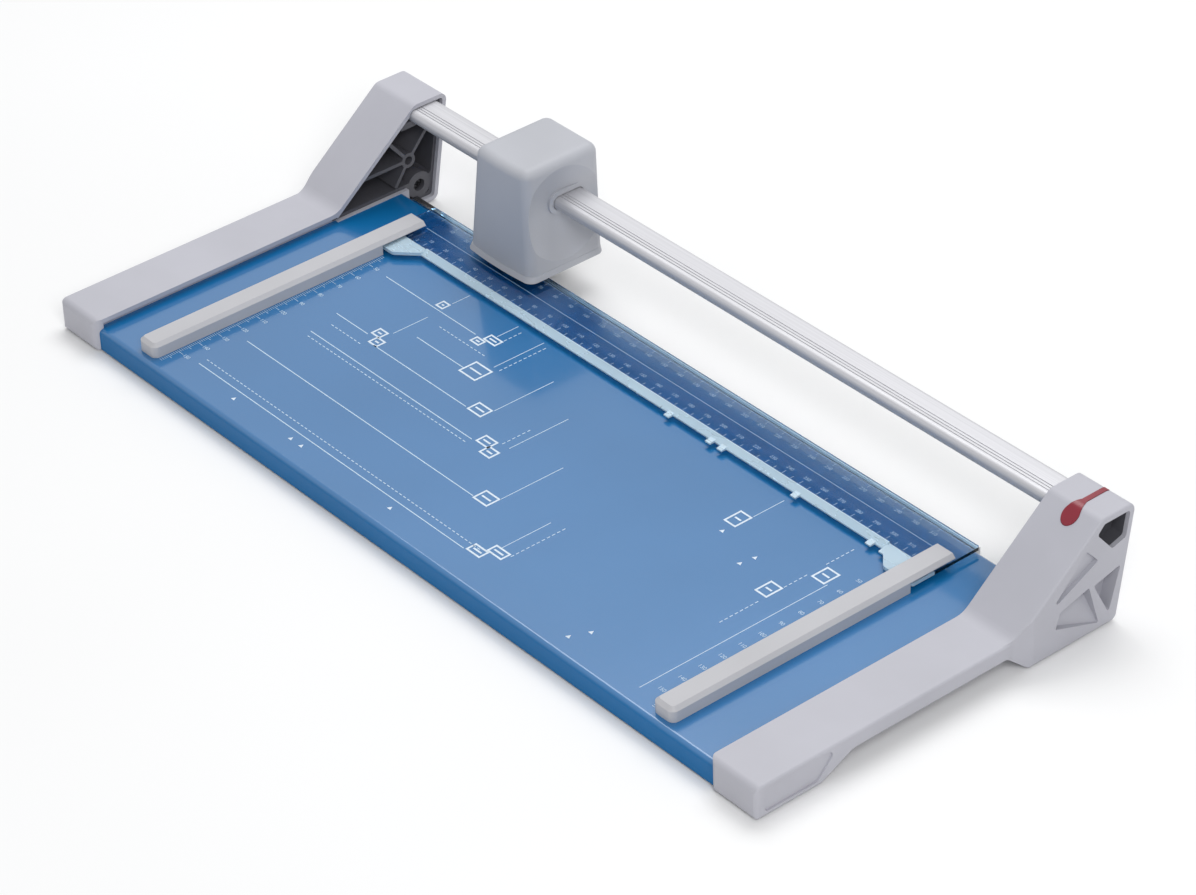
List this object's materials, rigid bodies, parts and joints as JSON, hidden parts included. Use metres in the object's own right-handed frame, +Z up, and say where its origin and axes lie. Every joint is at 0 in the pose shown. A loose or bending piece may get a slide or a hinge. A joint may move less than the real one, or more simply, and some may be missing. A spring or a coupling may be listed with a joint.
{
  "type": "rolling paper trimmer",
  "caption": "Desktop rolling paper trimmer: blue steel table between grey end caps, flat guide rail, sliding head with a round blade, clear paper clamp and side stop bars.",
  "frame": {"origin": "middle of the outline on the surface that the trimmer stands on", "axes": "+X along the guide rail to the user's right, +Y away from the user, +Z up"},
  "size_m": [0.446, 0.1956, 0.068],
  "materials": {
    "blue_paint": "semi-gloss blue enamel on steel with pale printed lines",
    "cap_grey": "light warm grey moulded plastic, fine grain",
    "head_grey": "mid grey moulded plastic, fine grain",
    "bar_grey": "pale grey moulded plastic",
    "charcoal": "charcoal moulded plastic",
    "rail_aluminium": "bright anodised extrusion with fine lengthwise lines",
    "blade_steel": "ground hardened steel",
    "screw_steel": "zinc plated steel",
    "clear_plastic": "clear moulded plastic with printed ruler",
    "frosted_plastic": "frosted clear plastic",
    "black_screw": "black finished steel",
    "red_plastic": "red moulded insert",
    "bush_white": "natural white bearing plastic",
    "black_rubber": "black rubber"
  },
  "bodies": {
    "base": {"base_table": "blue_paint", "counter_blade": "blade_steel", "counter_blade_screws": "screw_steel", "left_stop_bar": "bar_grey", "right_stop_bar": "bar_grey", "bar_screws": "screw_steel", "guide_rail": "rail_aluminium", "rail_screws": "screw_steel", "left_end_cover": "cap_grey", "right_end_cover": "cap_grey", "left_bracket": "charcoal", "right_bracket": "charcoal", "cover_screws": "black_screw", "table_screws": "screw_steel", "rubber_feet": "black_rubber", "red_inlay": "red_plastic"},
    "strip": {"press_strip": "clear_plastic", "strip_lip": "frosted_plastic"},
    "head": {"head_housing": "head_grey", "head_carrier": "charcoal", "slide_bushes": "bush_white", "head_screws": "screw_steel", "blade_guard": "charcoal", "guard_screws": "screw_steel", "press_shoe": "charcoal", "blade_axle": "screw_steel", "axle_clip": "screw_steel", "blade_spring": "screw_steel"},
    "blade": {"round_blade": "blade_steel", "blade_hub": "charcoal"}
  },
  "joints": [
    {"name": "head_slide", "type": "slide", "parent": "base", "child": "head", "axis": [1, 0, 0], "range_m": [-0.0592, 0.2842]},
    {"name": "blade_spin", "type": "hinge", "parent": "head", "child": "blade", "pos_m": [-0.1125, 0.06924, 0.0225], "axis": [0, 1, 0], "continuous": true},
    {"name": "strip_press", "type": "slide", "parent": "base", "child": "strip", "axis": [0, 0, -1], "range_m": [0, 0.0016], "stiffness_N_per_m": 600, "springref_m": -0.0006}
  ],
  "couplings": [
    {"joint": "blade_spin", "follows": "head_slide", "rad_per_m": 71.429}
  ]
}
